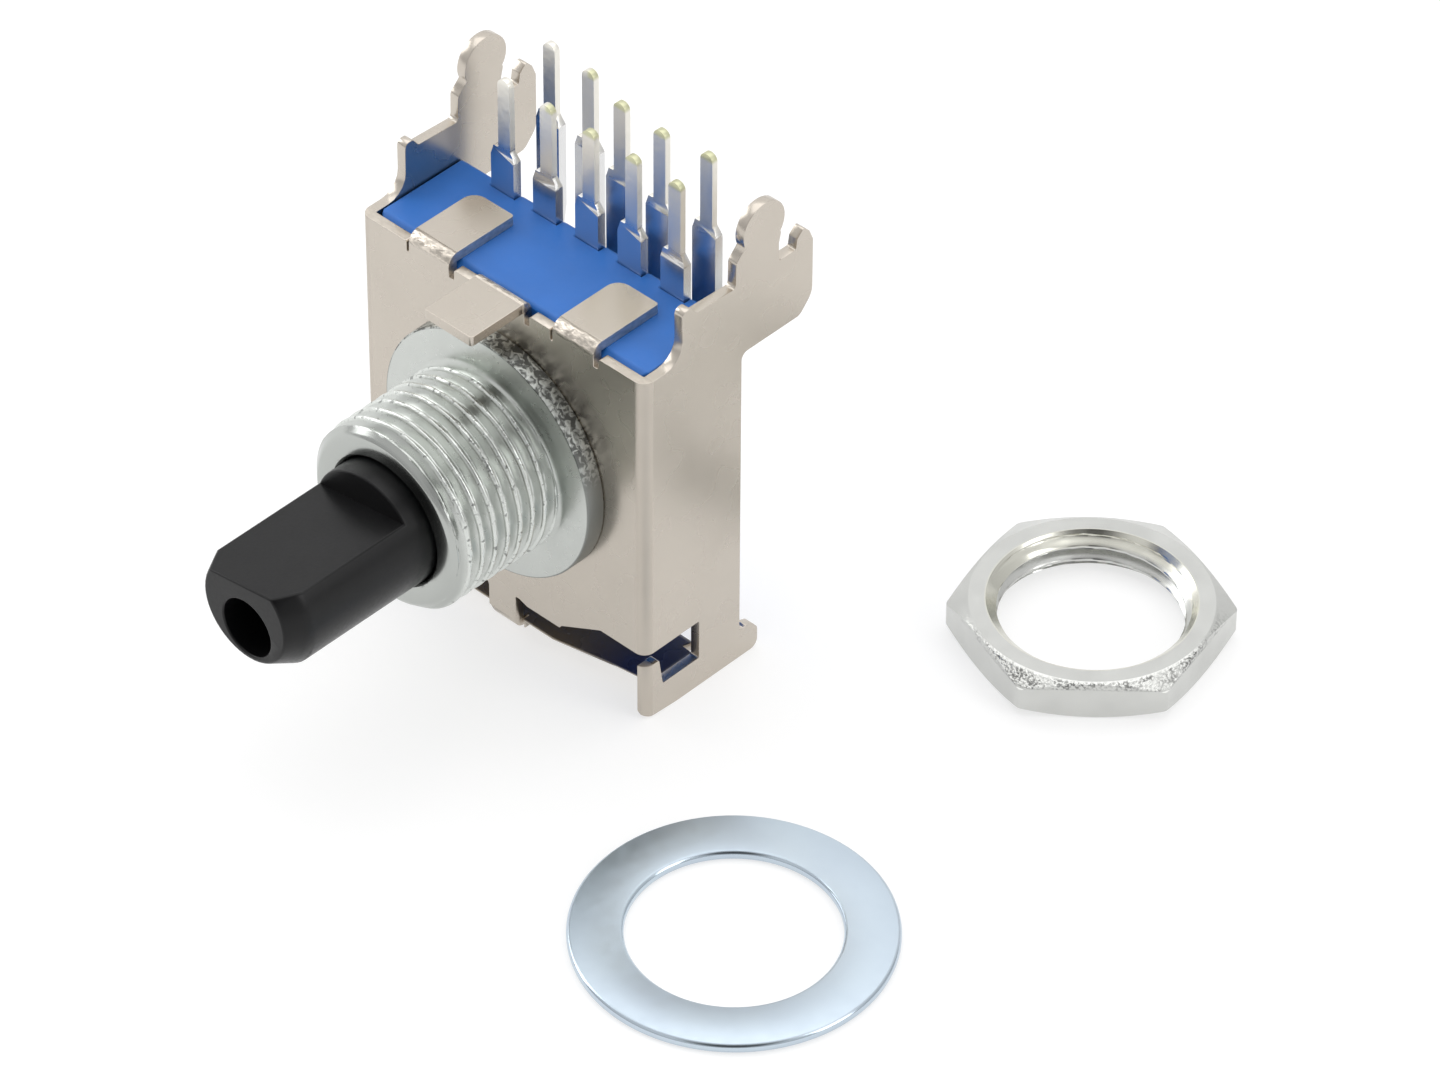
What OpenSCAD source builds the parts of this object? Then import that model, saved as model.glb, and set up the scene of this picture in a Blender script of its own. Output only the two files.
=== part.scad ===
// Two-deck rotary switch with snap-in board legs, its mounting nut and its washer.
// Millimetres. Origin: shaft axis on the outer face of the front plate.
// X runs along the plate, Y to the back (the shaft points to -Y), Z up (the pins point up).

/* [Frame] */
// Sheet thickness of the folded frame
sheet_t = 0.5;        // [0.4:0.05:0.6]
// Outside width over the two side plates
frame_w = 16.8;       // [16.6:0.1:18.0]
// Top edge of the front plate above the shaft axis
plate_top = 7.9;      // [7.6:0.05:8.4]
// Bottom edge of the side plates below the shaft axis
foot_z = 10.85;       // [10.6:0.05:12.0]
// Inner radius of every fold
fold_in = 0.05;       // [0.05:0.05:0.3]
// Rear edge of the side plates behind the front plate's face
side_back = 5.9;      // [5.7:0.05:6.3]
// Width of each clamping tab
tab_w = 2.4;          // [1.8:0.1:2.8]
// Distance of each clamping tab from the middle
tab_x = 4.25;         // [4.15:0.05:5.0]
// Reach of the clamping tabs over the case, from the plate's face
tab_reach = 3.95;     // [3.0:0.05:4.2]
// Width of the locating lug
lug_w = 2.8;          // [2.0:0.1:3.0]
// Reach of the locating lug in front of the plate
lug_reach = 3.1;      // [2.4:0.1:3.6]
// Height of the shoulders that meet the board, above the axis
board_z = 10.45;      // [10.3:0.05:11.0]
// Radius of the round head of each snap-in leg
leg_head_r = 1.25;    // [1.2:0.05:1.35]
// Height of that head's centre above the board shoulders
leg_head_up = 1.8;    // [1.7:0.05:2.0]

/* [Bushing and shaft] */
// Shaft diameter
shaft_d = 6;          // [5.0:0.1:6.4]
// Free end of the shaft in front of the plate
shaft_reach = 15.25;  // [12:0.25:30]
// Thickness left across the shaft's flat
flat_across = 4.5;    // [4.0:0.1:4.8]
// Length of the flat from the free end
flat_len = 7.1;       // [5:0.1:7.6]
// Turn of the flat from straight up
flat_turn = 8;        // [0:1:20]
// Radius of the hole in the shaft's end
core_r = 1.4;         // [0.8:0.1:1.5]
// Depth of that hole
core_len = 6;         // [2:0.5:7]
// Thread diameter of the bushing
thread_d = 9;         // [8.6:0.1:9.2]
// End of the bushing in front of the plate
bush_reach = 7.1;     // [5:0.1:7.4]
// Diameter of the bushing's flange
flange_d = 12.1;      // [11:0.1:13]
// Thickness of that flange
flange_t = 1.0;       // [0.8:0.1:1.2]
// Radial clearance of the turning shaft in the bushing
run_fit = 0.03;       // [0.02:0.01:0.06]

/* [Case and decks] */
// Thickness of the fixed contact wafers
wafer_t = 1.0;        // [0.9:0.05:1.2]
// Rear edge of the case's top wall behind the plate's face
case_back = 5.8;      // [5.75:0.01:5.9]
// Rear face of the front wafer behind the plate's face
deck_y = 5.2;         // [5.15:0.01:5.25]
// Distance between the two rows of terminals
row_gap = 2.6;        // [2.4:0.05:2.8]
// Underside of the case below the axis
case_low = 7.15;      // [7.1:0.05:7.6]
// Angle between two switch positions
step = 30;            // [30:30:30]
// Angle of the wiper at rest, clockwise from the top seen from the front
wiper_at = -15;       // [-15:30:15]
// Clearance between neighbouring parts that are pushed together
seat_gap = 0.05;      // [0.03:0.01:0.08]

/* [Terminals] */
// Pitch of the terminals
pitch = 2.5;          // [2.4:0.05:2.54]
// Width of a terminal blade
blade_w = 1.35;       // [1.2:0.05:1.5]
// Thickness of the terminal sheet
blade_t = 0.45;       // [0.35:0.05:0.5]
// Width of the solder pin on top of a blade
pin_w = 0.7;          // [0.5:0.05:0.8]
// Length of the solder pin above the shoulder
pin_len = 3.75;       // [3:0.05:4.5]
// How much lower the front row sits than the rear row
front_drop = 0.42;    // [0:0.02:0.6]
// How far each rear terminal is cranked back above its wafer
rear_lean = [0.15, -0.05, -0.72, -0.9, -0.68];

/* [Loose hardware] */
// Width across the flats of the mounting nut
nut_af = 11;          // [10.5:0.1:12]
// Thickness of the mounting nut
nut_t = 2;            // [1.5:0.1:2.5]
// Turn of the nut's corners from the X axis
nut_turn = 42;        // [0:1:60]
// Centre of the nut on the table
nut_at = [18.35, 17.6];
// Outside diameter of the washer
washer_d = 14;        // [13:0.1:15]
// Hole diameter of the washer
washer_hole = 9.2;    // [9.2:0.05:9.6]
// Thickness of the washer
washer_t = 0.5;       // [0.4:0.05:0.8]
// Centre of the washer on the table
washer_at = [20.25, -6.95];

/* [Hidden] */
$fn = 96;
e = 0.01;

// frame
half_w = frame_w / 2;
in_r = fold_in;
fold_r = fold_in + sheet_t;
in_w = half_w - sheet_t;
edge_low = -8.52;
slot_top = -7.18;
slot_low = 1.57 - foot_z;
hook_top = slot_low + 1.45;
hook_x = half_w - 0.47;
tongue_0 = -0.99;
tongue_1 = 0.63;
flange_top = slot_low - 0.51;
flange_low = flange_top - sheet_t;
flange_edge = 0.13;
leg_z = board_z + leg_head_up;
ear_z = board_z - 0.5;

// bushing and shaft
shaft_r = shaft_d / 2;
bore_r = shaft_r + run_fit;
boss_r = thread_d / 2 - 0.2;
stake_y = sheet_t + 0.4;
stake_r = boss_r + 0.6;
collar_y = stake_y + seat_gap;
collar_t = 0.3;
tang_r = 1.7;
tang_flat = 1.2;
spigot_r = 1.1;

// decks, from the front to the back
spring_t = 0.2;
case_x = in_w - seat_gap;
chamber_r = min(case_low, case_x) - 0.55;
rotor_y = collar_y + collar_t;
rotor_r = chamber_r - 0.3;
cover_z = plate_top - 0.55;
wafer_y = deck_y - wafer_t;
contact_y = wafer_y - 0.1;
hub_y = wafer_y - 0.8;
arm_y = hub_y - 0.7;
stud_ring = 3.6;
common_r = 2.45;
stud_r = 0.45;
row2_y = deck_y + row_gap;
wafer2_t = 0.8;
wafer2_y = row2_y - wafer2_t;
contact2_y = wafer2_y - 0.1;
rear_y = deck_y + blade_t;
deck2_r = 4.3;
rotor2_r = deck2_r - 0.25;
rotor2_y = rear_y + 0.15;
hub2_y = contact2_y - 0.3;
rear_x = 2 * pitch + 0.6;
rear_top = 4.5;
rear_low = 5.6;
peg_r = 0.6;
peg_at = [4.85, -4.8];
positions = [-1.5, -0.5, 0.5, 1.5];

// a round bar along Y
module ybar(y0, y1, r) {
    translate([0, y0, 0]) rotate([-90, 0, 0]) cylinder(h = y1 - y0, r = r);
}

// a flat shape in X and Z, made thick along Y
module slab(y0, y1) {
    translate([0, y1, 0]) rotate([90, 0, 0]) linear_extrude(y1 - y0) children();
}

// a flat shape in Y and Z, made thick along X
module side_slab(x0, x1) {
    translate([x0, 0, 0]) rotate([90, 0, 90]) linear_extrude(x1 - x0) children();
}

// a point at a radius and an angle, clockwise from the top
function at(r, a) = [r * sin(a), r * cos(a)];
function unit(v) = v / norm(v);

// one rounded corner of an outline
function corner(a, p, b, r, n) = r <= 0 ? [p] :
    let (u = unit(a - p), v = unit(b - p), h = acos(u * v) / 2,
         c = p + unit(u + v) * r / sin(h),
         s = p + u * r / tan(h), f = p + v * r / tan(h),
         a0 = atan2(s[1] - c[1], s[0] - c[0]), a1 = atan2(f[1] - c[1], f[0] - c[0]),
         d = ((a1 - a0 + 540) % 360) - 180)
    [for (i = [0 : n]) c + r * [cos(a0 + d * i / n), sin(a0 + d * i / n)]];

// an outline whose corners carry their own radius: [x, y, r]
function rounded(q, n = 5) = let (m = len(q)) [for (i = [0 : m - 1])
    each corner([q[(i + m - 1) % m][0], q[(i + m - 1) % m][1]], [q[i][0], q[i][1]],
                [q[(i + 1) % m][0], q[(i + 1) % m][1]], q[i][2], n)];

// a straight strip between two points
module strip(a, b, w) {
    d = b - a;
    translate(a) rotate(atan2(d[1], d[0])) translate([0, -w / 2]) square([norm(d), w]);
}

// a ring sector between two angles, clockwise from the top
module sector(r0, r1, a0, a1) {
    intersection() {
        difference() { circle(r = r1); circle(r = r0); }
        polygon([[0, 0], at(2 * r1, a0), at(2 * r1, (a0 + a1) / 2), at(2 * r1, a1)]);
    }
}

// a quarter fold about an axis along Z, for the right front corner, from x0 on
module corner_fold(z0, z1, x0) {
    c = half_w - fold_r;
    translate([c, fold_r, z0]) linear_extrude(z1 - z0)
        intersection() {
            difference() { circle(r = fold_r); circle(r = in_r); }
            translate([max(0, x0 - c), -fold_r]) square(fold_r);
        }
}

// a quarter fold about an axis along X, seen from the side: way is +1 back, -1 forward
module strip_fold(x0, x1, y, z, way, up) {
    side_slab(x0, x1) translate([y, z])
        intersection() {
            difference() { circle(r = fold_r); circle(r = in_r); }
            translate([way > 0 ? -fold_r : 0, up > 0 ? 0 : -fold_r]) square(fold_r);
        }
}

// outline of a side plate, Y and Z
module side_outline() {
    h = [7.2, leg_z];
    r = leg_head_r;
    union() {
        polygon(rounded([
            [fold_r, plate_top, 0], [2.3, plate_top, 1.05], [2.3, board_z + 0.05, 0.28],
            [2.78, board_z + 0.05, 0.2], [3.1, ear_z + 0.12, 0.15], [5.5, ear_z, 0.2],
            [5.52, board_z + 0.8, 0.3], [6.14, board_z + 1.42, 0.2],
            [h[0] - 0.3, h[1], 0], [h[0] + 0.3, h[1], 0],
            [8.25, board_z + 0.98, 0.15], [8.12, board_z + 0.42, 0.2],
            [8.12, ear_z - 0.03, 0.15], [9.16, ear_z - 0.03, 0.1], [9.24, board_z - 0.02, 0.12],
            [9.64, board_z + 0.38, 0.14], [10.0, board_z, 0.12], [10.22, ear_z - 0.05, 0.2],
            [10.22, 7.0, 1.0], [9.45, 6.18, 0.5], [side_back, 6.18, 0.35],
            [side_back, 1.56 - foot_z, 0.1], [6.15, 1.52 - foot_z, 0.1], [6.3, 1.58 - foot_z, 0.1],
            [6.75, 1.4 - foot_z, 0.25], [7.03, 1.05 - foot_z, 0.25], [7.03, -foot_z, 0.42],
            [2.0, -foot_z, 0], [fold_r, 0.1 - foot_z, 0],
            [fold_r, hook_top, 0], [0.9, hook_top, 0.1], [1.13, slot_low, 0.1],
            [3.36, slot_low, 0.1], [3.36, slot_top, 0.1], [fold_r, slot_top, 0]]));
        translate(h) circle(r = r);
    }
}

// the notched root of a tab or lug between two X values, from right to left
function root(x0, x1, l, r) = [[x1 + r, plate_top, 0.1], [x1 + r, plate_top - 0.55, 0.1],
    [x1, plate_top - 0.55, 0], [x1, plate_top - in_r, 0], [x0, plate_top - in_r, 0],
    [x0, plate_top - 0.55, 0], [x0 - l, plate_top - 0.55, 0.1], [x0 - l, plate_top, 0.1]];

// outline of the front plate, X and Z
module front_outline() {
    w = half_w - fold_r;
    t = tab_w / 2;
    difference() {
        polygon(rounded(concat([
            [-w, slot_top, 0], [-5.75, slot_top, 0.5], [-3.42, edge_low + 0.17, 0.12],
            [-3.3, edge_low, 0.06], [tongue_0 - 0.75, edge_low, 0.3],
            [tongue_0 - 0.35, edge_low + 0.14, 0.2], [tongue_0, edge_low + 0.14, 0.28],
            [tongue_0, flange_low + fold_r, 0], [tongue_1, flange_low + fold_r, 0],
            [tongue_1, edge_low + 0.16, 0.1], [tongue_1 + 0.25, edge_low + 0.16, 0.1],
            [tongue_1 + 0.7, edge_low, 0.3], [3.3, edge_low, 0.06],
            [3.42, edge_low + 0.17, 0.12], [5.75, slot_top, 0.5], [w, slot_top, 0],
            [w, plate_top, 0]],
            root(tab_x - t, tab_x + t, 0.12, 0.3), root(-lug_w / 2, lug_w / 2, 0.2, 0.3),
            root(-tab_x - t, -tab_x + t, 0.12, 0.3), [[-w, plate_top, 0]])));
        circle(r = boss_r + 0.02);
    }
}

// breaks the lower edge of a flat flange from a to b, looking along it
module edge_break(a, b, z1, z0) {
    d = b - a;
    translate([a[0], a[1], 0]) rotate(atan2(d[1], d[0])) rotate([90, 0, 90])
        translate([0, 0, -0.3]) linear_extrude(norm(d) + 0.6)
            polygon([[-1, z1], [0, z1], [z1 - z0, z0], [z1 - z0, z0 - 1], [-1, z0 - 1]]);
}

// outline of the bottom flange, X and Y, and the points of its front edge on the right
flange_front = [[2.5, 0.37], [5.5, 0.98], [in_w - 0.33, 1.28]];
module flange_outline() {
    f = flange_front;
    x = f[2][0];
    polygon(rounded([[tongue_0, fold_r, 0], [tongue_0, 0.75, 0.04], [tongue_0 - 0.12, 0.75, 0.04],
        [tongue_0 - 0.12, f[0][1], 0.04], [-f[0][0], f[0][1], 0.3], [-f[1][0], f[1][1], 0.5],
        [-x, f[2][1], 0.1], [-x, 3.82, 0.06], [-6.9, 3.87, 0.06], [-7.05, 4.36, 0.06],
        [7.05, 4.36, 0.06], [6.9, 3.87, 0.06], [x, 3.82, 0.06], [x, f[2][1], 0.1],
        [f[1][0], f[1][1], 0.5], [f[0][0], f[0][1], 0.3], [tongue_1 + 0.12, f[0][1], 0.04],
        [tongue_1 + 0.12, 0.75, 0.04], [tongue_1, 0.75, 0.04], [tongue_1, fold_r, 0]]));
}

module frame() color("#bdb4a9") {
    slab(0, sheet_t) front_outline();
    for (m = [0, 1]) mirror([m, 0, 0]) {
        side_slab(in_w, half_w) side_outline();
        corner_fold(slot_top, plate_top, 0);
        difference() {
            corner_fold(0.1 - foot_z, hook_top, hook_x);
            slab(-1, fold_r) polygon([[7, 0.43 - foot_z], [hook_x, 0.43 - foot_z],
                [hook_x + 0.15, 0.24 - foot_z], [half_w, 0.1 - foot_z], [half_w, -12], [7, -12]]);
        }
    }
    // clamping tabs
    for (s = [-1, 1]) {
        strip_fold(s * tab_x - tab_w / 2, s * tab_x + tab_w / 2, fold_r, plate_top - in_r, 1, 1);
        translate([s * tab_x, 0, plate_top]) linear_extrude(sheet_t)
            polygon(rounded([[-tab_w / 2, fold_r, 0], [tab_w / 2, fold_r, 0],
                [tab_w / 2, tab_reach, 0.14], [-tab_w / 2, tab_reach, 0.65]]));
    }
    // locating lug
    strip_fold(-lug_w / 2, lug_w / 2, -in_r, plate_top - in_r, -1, 1);
    translate([0, 0, plate_top]) linear_extrude(sheet_t)
        polygon(rounded([[-lug_w / 2, -in_r, 0], [-lug_w / 2, -lug_reach, 0.15],
            [lug_w / 2, -lug_reach, 0.15], [lug_w / 2, -in_r, 0]]));
    // bottom flange on its tongue, its front edge broken from below
    difference() {
        strip_fold(tongue_0, tongue_1, fold_r, flange_low + fold_r, 1, -1);
        slab(-1, fold_r) polygon([[tongue_0 - 1, flange_top + 0.4], [tongue_0, flange_top + 0.4],
            [tongue_0 + 0.12, flange_top + 0.02], [tongue_0 + 0.5, flange_low - 0.02],
            [tongue_0 + 0.5, flange_low - 1], [tongue_0 - 1, flange_low - 1]]);
    }
    difference() {
        translate([0, 0, flange_low]) linear_extrude(sheet_t) flange_outline();
        z = flange_top - flange_edge;
        f = flange_front;
        edge_break([tongue_1 + 0.5, f[0][1]], f[0], z, flange_low);
        edge_break(f[0], f[1], z, flange_low);
        edge_break(f[1], f[2], z, flange_low);
        edge_break([-f[0][0], f[0][1]], [tongue_0 - 0.5, f[0][1]], z, flange_low);
        edge_break([-f[1][0], f[1][1]], [-f[0][0], f[0][1]], z, flange_low);
        edge_break([-f[2][0], f[2][1]], [-f[1][0], f[1][1]], z, flange_low);
    }
}

module bushing() color("#c8cdcb") difference() {
    c = 0.4;
    rotate([90, 0, 0]) rotate_extrude() polygon([[bore_r, -stake_y], [boss_r, -stake_y],
        [stake_r, -stake_y + 0.15], [stake_r, -sheet_t], [boss_r, -sheet_t], [boss_r, 0],
        [flange_d / 2 - 0.08, 0], [flange_d / 2, 0.08], [flange_d / 2, flange_t - 0.12],
        [flange_d / 2 - 0.12, flange_t], [thread_d / 2, flange_t],
        [thread_d / 2, bush_reach - c], [thread_d / 2 - c, bush_reach],
        [bore_r + 0.25, bush_reach], [bore_r, bush_reach - 0.25]]);
}

module shaft() color("#2d2d2f") difference() {
    union() {
        rotate([90, 0, 0]) cylinder(h = shaft_reach - 1.2, r = shaft_r);
        translate([0, -(shaft_reach - 1.2), 0]) rotate([90, 0, 0])
            cylinder(h = 1.2, r1 = shaft_r, r2 = shaft_r - 0.62);
        ybar(-e, collar_y + e, shaft_r);
        ybar(collar_y, rotor_y, boss_r - 0.3);
        intersection() {
            ybar(collar_y, contact2_y, tang_r);
            translate([-tang_flat, 0, -tang_r]) cube([2 * tang_flat, contact2_y, 2 * tang_r]);
        }
        ybar(contact2_y - e, row2_y + blade_t / 2, spigot_r);
    }
    // the flat
    rotate([0, -flat_turn, 0])
        translate([-shaft_r - 1, -shaft_reach - 1, flat_across - shaft_r])
            cube([shaft_d + 2, flat_len + 1, shaft_r]);
    // the blind hole in the end
    rotate([0, -flat_turn, 0]) translate([0, -shaft_reach - e, -(shaft_d - flat_across) / 2])
        rotate([-90, 0, 0]) cylinder(h = core_len + e, r = core_r);
}

module detent_spring() color("#c79a5b") {
    r0 = stake_r + 0.25;
    r1 = chamber_r - 0.2;
    slab(sheet_t, sheet_t + spring_t) difference() { circle(r = r1); circle(r = r0); }
    for (s = [-1, 1]) intersection() {
        translate([s * (r0 + r1) / 2, sheet_t + spring_t, 0])
            sphere(r = rotor_y - sheet_t - spring_t - 0.05, $fn = 48);
        translate([-half_w, sheet_t + spring_t / 2, -2]) cube([frame_w, 2, 4]);
    }
}

module front_case() color("#2f66b4") {
    difference() {
        linear_case(sheet_t, case_back, plate_top);
        ybar(sheet_t - 1, wafer_y + 1, chamber_r);
        // the front wafer's seat, under the top wall
        slab(wafer_y, case_back + 1) translate([-half_w, -half_w - 1])
            square([frame_w, half_w + 1 + cover_z]);
        // notches for the front row of terminals
        for (i = [-2 : 2]) translate([i * pitch - blade_w / 2 - seat_gap, deck_y, cover_z - 1])
            cube([blade_w + 2 * seat_gap, 2, 3]);
        // front edges eased clear of the folds
        for (s = [-1, 1]) translate([s * case_x, sheet_t, 0]) rotate([0, 0, 45])
            cube([0.45, 0.45, 3 * plate_top], center = true);
        translate([0, sheet_t, plate_top]) rotate([45, 0, 0])
            cube([frame_w, 0.45, 0.45], center = true);
        translate([-lug_w / 2 - 0.7, sheet_t - 1, plate_top - 1]) cube([lug_w + 1.4, 1.16, 2]);
        // eased rear edge of the top
        translate([0, case_back, plate_top]) rotate([45, 0, 0])
            cube([frame_w, 0.36, 0.36], center = true);
    }
    // end stops of the turning arm
    slab(arm_y + 0.1, wafer_y) {
        sector(chamber_r - 2, chamber_r + 0.2, 235.5, 252);
        sector(chamber_r - 2, chamber_r + 0.2, 108, 124.5);
    }
}

// the block that both blue front parts are cut from
module linear_case(y0, y1, z1) {
    slab(y0, y1) polygon([[-case_x, -case_low], [case_x, -case_low], [case_x, z1], [-case_x, z1]]);
}

// the hole that drives a rotor
module tang_hole(y0, y1) intersection() {
    ybar(y0, y1, tang_r + seat_gap);
    translate([-tang_flat - seat_gap, y0, -3]) cube([2 * (tang_flat + seat_gap), y1 - y0, 6]);
}

module rotor_front() color("#e8e4da") difference() {
    union() {
        ybar(rotor_y, arm_y, rotor_r);
        ybar(arm_y - e, hub_y, 3);
        slab(arm_y - e, hub_y - 0.1) sector(2.9, chamber_r - 0.4, wiper_at + 170, wiper_at + 190);
    }
    tang_hole(rotor_y - 1, hub_y + 1);
    // twelve valleys for the click
    for (i = [0 : 11]) rotate([0, i * step, 0])
        translate([stake_r + 0.1, rotor_y - 0.5, -0.5]) cube([3, 0.5 + 0.35, 1]);
}

module rotor_rear() color("#e8e4da") difference() {
    ybar(rotor2_y, hub2_y, rotor2_r);
    tang_hole(rotor2_y - 1, hub2_y + 1);
}

// a springy bridge between the common ring and one stud
module wiper(y0, y1) {
    slab(y0, y0 + spring_t) difference() {
        union() {
            circle(r = common_r + 0.35);
            strip([0, 0], at(stud_ring + 0.3, wiper_at), 0.9);
        }
        circle(r = tang_r + 2 * seat_gap);
    }
    for (p = [at(stud_ring, wiper_at), at(common_r, wiper_at + 120), at(common_r, wiper_at + 240)])
        translate([p[0], 0, p[1]]) ybar(y0 + spring_t - e, y1, 0.28);
}

module wiper_front() color("#c79a5b") wiper(hub_y, contact_y - 0.03);
module wiper_rear() color("#c79a5b") wiper(hub2_y, contact2_y - 0.03);

// holes for the studs of the five terminals
module stud_holes(y0, y1) {
    for (k = positions) translate([at(stud_ring, k * step)[0], 0, at(stud_ring, k * step)[1]])
        ybar(y0 - 1, y1 + 1, stud_r + seat_gap);
    translate([-common_r, 0, 0]) ybar(y0 - 1, y1 + 1, 0.3 + seat_gap);
}

module wafer_front() color("#3a74bd") difference() {
    linear_case(wafer_y, deck_y, cover_z - seat_gap);
    ybar(0, 10, tang_r + 0.25);
    stud_holes(wafer_y, deck_y);
    for (s = [-1, 1]) translate([s * peg_at[0], 0, peg_at[1]]) ybar(0, 10, peg_r + seat_gap);
}

module rear_case() color("#2f66b4") {
    difference() {
        slab(rear_y, wafer2_y) translate([-rear_x, -rear_low])
            square([2 * rear_x, rear_low + rear_top]);
        ybar(0, 10, deck2_r);
    }
    for (s = [-1, 1]) translate([s * peg_at[0], 0, peg_at[1]]) ybar(wafer_y + 0.2, row2_y, peg_r);
}

module wafer_rear() color("#3a74bd") difference() {
    slab(wafer2_y, row2_y) translate([-rear_x, -rear_low])
        square([2 * rear_x, rear_low + rear_top]);
    ybar(0, 10, spigot_r + run_fit);
    stud_holes(wafer2_y, row2_y);
    for (s = [-1, 1]) translate([s * peg_at[0], 0, peg_at[1]]) ybar(0, 10, peg_r + seat_gap);
}

// one terminal: pin, blade, strip and stud; number 1 is the common one with its ring
module terminal(i, y, face_y, root_z, seat_z, lean) {
    x = (i - 3) * pitch;
    p = pin_w / 2;
    b = blade_w / 2;
    t = y + blade_t;
    tip = seat_z + pin_len;
    s = i == 1 ? [-common_r, 0] : at(stud_ring, positions[i - 2] * step);
    intersection() {
        slab(y - 2, y + 2) union() {
            translate([x, 0]) polygon(rounded([[-b, root_z, 0.15], [b, root_z, 0.15],
                [b, seat_z - 0.35, 0.1], [p, seat_z + 0.05, 0.12], [p, tip, p - 0.01],
                [-p, tip, p - 0.01], [-p, seat_z, 0.08], [-b, seat_z, 0.08]], 7));
            if (i == 1) {
                strip([x, root_z + 0.5], [x, -0.4], 0.8);
                strip([x - 0.4, 0], s, 0.8);
            } else strip([x, root_z + 0.3], s, 0.8);
            translate(s) circle(r = i == 1 ? 0.5 : 0.6);
        }
        // seen from the side: cranked above the wafer, the pin thinner than the blade
        side_slab(-half_w, half_w) polygon([[y, -8], [y, root_z + 0.2], [y + lean, root_z + 1.2],
            [y + lean, seat_z - 0.38], [y + lean + 0.14, seat_z - 0.12],
            [y + lean + 0.14, tip - 0.3], [y + lean + 0.19, tip + 1], [t + lean - 0.04, tip + 1],
            [t + lean, tip - 0.3], [t + lean, root_z + 1.2], [t, root_z + 0.2], [t, -8]]);
    }
    translate([s[0], 0, s[1]]) ybar(face_y, y + e, i == 1 ? 0.3 : stud_r);
    if (i == 1) slab(face_y, face_y + 0.1)
        difference() { circle(r = common_r + 0.35); circle(r = common_r - 0.35); }
}

module terminal_front(i) color("#c9ccd2")
    terminal(i, deck_y, contact_y, 5.2, board_z - front_drop, 0);
module terminal_rear(i) color("#c9ccd2")
    terminal(i, row2_y, contact2_y, rear_top + 0.1, board_z, rear_lean[i - 1]);
module terminal_front_1() terminal_front(1);
module terminal_front_2() terminal_front(2);
module terminal_front_3() terminal_front(3);
module terminal_front_4() terminal_front(4);
module terminal_front_5() terminal_front(5);
module terminal_rear_1() terminal_rear(1);
module terminal_rear_2() terminal_rear(2);
module terminal_rear_3() terminal_rear(3);
module terminal_rear_4() terminal_rear(4);
module terminal_rear_5() terminal_rear(5);

module mounting_nut() color("#c9c7c0") {
    r = nut_af / 2;
    minor = thread_d / 2 - 0.4;
    translate([nut_at[0], nut_at[1], -foot_z]) difference() {
        intersection() {
            rotate(nut_turn) cylinder(h = nut_t, r = r / cos(30), $fn = 6);
            union() {
                cylinder(h = 0.35, r1 = r - 0.05, r2 = r + 0.9);
                translate([0, 0, 0.35]) cylinder(h = nut_t - 0.7, r = r + 0.9);
                translate([0, 0, nut_t - 0.35]) cylinder(h = 0.35, r1 = r + 0.9, r2 = r - 0.05);
            }
        }
        translate([0, 0, -1]) cylinder(h = nut_t + 2, r = minor);
        translate([0, 0, -e]) cylinder(h = 0.45, r1 = minor + 0.45, r2 = minor);
        translate([0, 0, nut_t - 0.45 + e]) cylinder(h = 0.45, r1 = minor, r2 = minor + 0.45);
    }
}

module washer() color("#c8d2de") translate([washer_at[0], washer_at[1], -foot_z]) difference() {
    cylinder(h = washer_t, r = washer_d / 2);
    translate([0, 0, -1]) cylinder(h = washer_t + 2, r = washer_hole / 2);
}

frame();
bushing();
shaft();
detent_spring();
front_case();
rotor_front();
wiper_front();
wafer_front();
terminal_front_1();
terminal_front_2();
terminal_front_3();
terminal_front_4();
terminal_front_5();
rear_case();
rotor_rear();
wiper_rear();
wafer_rear();
terminal_rear_1();
terminal_rear_2();
terminal_rear_3();
terminal_rear_4();
terminal_rear_5();
mounting_nut();
washer();
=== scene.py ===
import math

import bmesh
import bpy
from mathutils import Matrix, Vector


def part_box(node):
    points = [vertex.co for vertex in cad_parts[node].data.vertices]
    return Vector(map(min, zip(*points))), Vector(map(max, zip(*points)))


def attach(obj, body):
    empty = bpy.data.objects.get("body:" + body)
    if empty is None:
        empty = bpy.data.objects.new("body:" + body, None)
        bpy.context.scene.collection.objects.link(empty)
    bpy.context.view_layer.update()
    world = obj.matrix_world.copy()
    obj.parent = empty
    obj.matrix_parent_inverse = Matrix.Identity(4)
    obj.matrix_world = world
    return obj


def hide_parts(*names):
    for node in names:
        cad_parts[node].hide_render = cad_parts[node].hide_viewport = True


bl_info = {
    "name": "Rotary switch with nut and washer",
    "version": (1, 0, 0),
    "blender": (4, 5, 0),
    "location": "View3D > Sidebar > Rotary Switch",
    "description": "Builds the looks of a board-mounted rotary switch around its packed solids",
    "category": "Object",
}

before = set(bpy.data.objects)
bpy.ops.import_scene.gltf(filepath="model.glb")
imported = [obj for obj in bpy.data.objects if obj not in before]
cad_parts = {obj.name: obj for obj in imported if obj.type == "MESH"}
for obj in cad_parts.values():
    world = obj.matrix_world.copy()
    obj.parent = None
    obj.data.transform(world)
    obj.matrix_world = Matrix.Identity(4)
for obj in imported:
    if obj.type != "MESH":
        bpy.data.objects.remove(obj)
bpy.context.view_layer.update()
MM = 0.001
HOUSING, ROTOR = "housing", "rotor"
FLOOR_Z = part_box("frame")[0].z


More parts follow.
